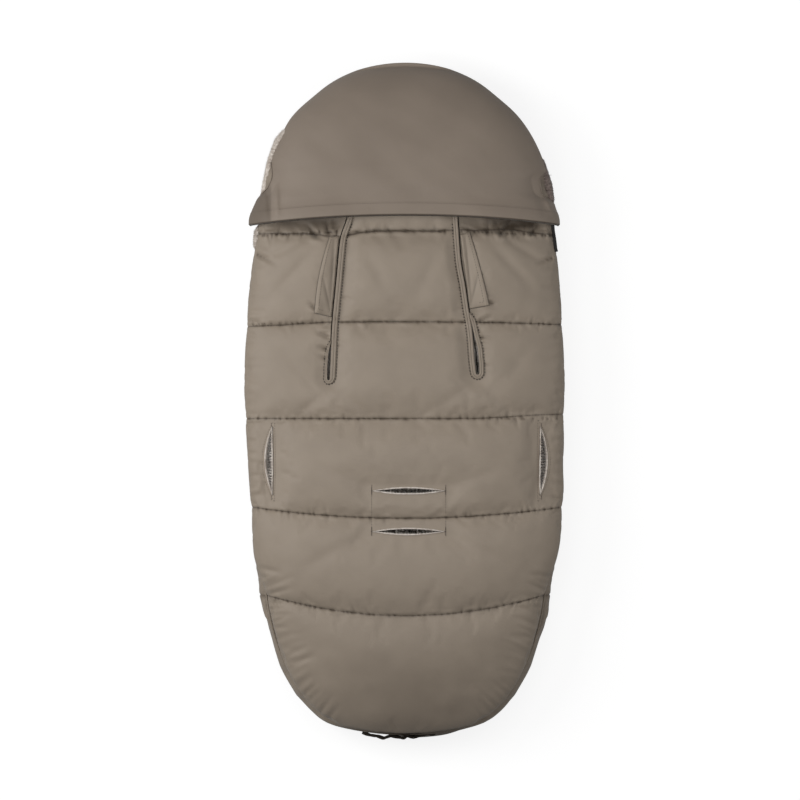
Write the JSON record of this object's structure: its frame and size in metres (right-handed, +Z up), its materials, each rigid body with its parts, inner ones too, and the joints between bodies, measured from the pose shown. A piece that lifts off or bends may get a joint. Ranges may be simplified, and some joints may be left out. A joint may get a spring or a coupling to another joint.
{
  "type": "stroller footmuff",
  "caption": "Quilted footmuff for a stroller, lying face down: padded sack with side zips, a hood, harness slits and slots in the back and a pocket that hooks over the backrest.",
  "frame": {"origin": "on the floor, in the middle of the bounding box in plan", "axes": "+Y from the toe to the head, +Z up from the floor to the back panel, +X to the right with the head up, seen from above"},
  "size_m": [0.4692, 0.999, 0.1643],
  "materials": {
    "shell_fabric": "taupe polyester, slight sheen",
    "fleece": "grey-brown fleece",
    "binding": "taupe woven binding",
    "zip_tape": "black woven tape with a plastic coil",
    "elastic": "dark gathered elastic",
    "zip_metal": "dark nickel"
  },
  "bodies": {
    "front_cover": {"front_shell": "shell_fabric", "front_lining": "fleece", "neck_binding": "binding", "toe_gusset": "shell_fabric", "toe_elastic": "elastic", "zip_tape_front_left": "zip_tape", "zip_tape_front_right": "zip_tape", "zip_stop_top_left": "zip_metal", "zip_stop_top_right": "zip_metal", "zip_stop_bottom_left": "zip_metal", "zip_stop_bottom_right": "zip_metal"},
    "back_pad": {"back_shell": "shell_fabric", "back_lining": "fleece", "slit_binding_left": "binding", "slit_binding_right": "binding", "crotch_facing_upper": "fleece", "crotch_facing_lower": "fleece", "waist_facing_left": "fleece", "waist_facing_right": "fleece", "edge_piping": "binding", "hood_wall": "shell_fabric", "hood_lining": "fleece", "hood_rim": "binding", "zip_tape_back_left": "zip_tape", "zip_tape_back_right": "zip_tape"},
    "head_pocket": {"pocket_sheet": "shell_fabric"},
    "flap_left": {"slit_flap_left": "shell_fabric"},
    "flap_right": {"slit_flap_right": "shell_fabric"},
    "slider_left": {"zip_slider_left": "zip_metal"},
    "slider_right": {"zip_slider_right": "zip_metal"},
    "pull_left": {"zip_pull_left": "zip_metal"},
    "pull_right": {"zip_pull_right": "zip_metal"}
  },
  "joints": [
    {"name": "foot_fold", "type": "hinge", "parent": "front_cover", "child": "back_pad", "pos_m": [0, -0.488, 0.0722], "axis": [1, 0, 0], "range_deg": [0, 95]},
    {"name": "pocket_lift", "type": "hinge", "parent": "back_pad", "child": "head_pocket", "pos_m": [0, 0.4995, 0.0785], "axis": [-1, 0, 0], "range_deg": [0, 12]},
    {"name": "flap_turn_left", "type": "hinge", "parent": "back_pad", "child": "flap_left", "pos_m": [-0.1059, 0.17975, 0.1482], "axis": [0.094, 0.9956, 0], "range_deg": [0, 110]},
    {"name": "flap_turn_right", "type": "hinge", "parent": "back_pad", "child": "flap_right", "pos_m": [0.0985, 0.18575, 0.1488], "axis": [0.15, -0.9887, 0], "range_deg": [0, 110]},
    {"name": "zip_run_left", "type": "slide", "parent": "front_cover", "child": "slider_left", "axis": [0, -1, 0], "range_m": [0, 0.352]},
    {"name": "pull_swing_left", "type": "hinge", "parent": "slider_left", "child": "pull_left", "pos_m": [-0.21665, 0.18932, 0.06], "axis": [0, 0, -1], "range_deg": [0, 120]},
    {"name": "zip_run_right", "type": "slide", "parent": "front_cover", "child": "slider_right", "axis": [0, -1, 0], "range_m": [0, 0.352]},
    {"name": "pull_swing_right", "type": "hinge", "parent": "slider_right", "child": "pull_right", "pos_m": [0.21665, 0.18932, 0.06], "axis": [0, 0, 1], "range_deg": [0, 120]}
  ]
}
